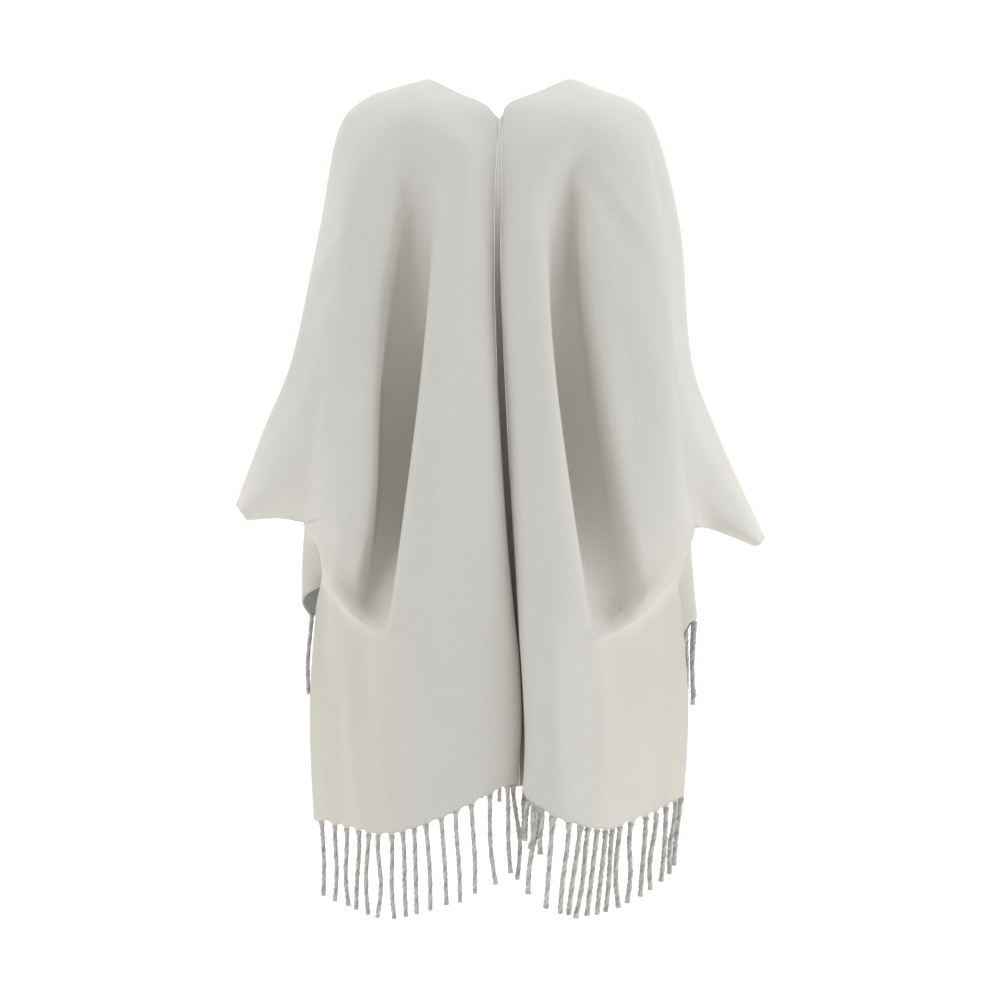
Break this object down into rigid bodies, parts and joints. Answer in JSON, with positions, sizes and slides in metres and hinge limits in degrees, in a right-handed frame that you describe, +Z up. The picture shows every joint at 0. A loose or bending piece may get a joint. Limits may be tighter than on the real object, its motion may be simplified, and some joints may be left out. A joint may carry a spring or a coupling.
{
  "type": "ruana-style poncho with fringe, worn form",
  "caption": "Open-front ruana-style poncho in felted double-face wool, draped as worn, with wing sleeves, centre back seam, open sides and twisted fringe on back and front hems.",
  "frame": {"origin": "middle of the shoulders, where the wearer's neck and shoulders carry it", "axes": "+Z up, +Y from the back to the front of the garment, +X to the right seen from behind"},
  "size_m": [0.6486, 0.3173, 0.9968],
  "materials": {
    "wool_ivory": "matte felted wool, ivory outside and heather grey inside",
    "seam_band": "matte felted wool strip",
    "fringe_yarn": "twisted heather grey and ivory wool yarn"
  },
  "bodies": {
    "root": {"left_half": "wool_ivory", "right_half": "wool_ivory", "centre_back_band": "seam_band", "fringe_back_left": "fringe_yarn", "fringe_back_right": "fringe_yarn", "fringe_front_left": "fringe_yarn", "fringe_front_right": "fringe_yarn"}
  },
  "joints": []
}
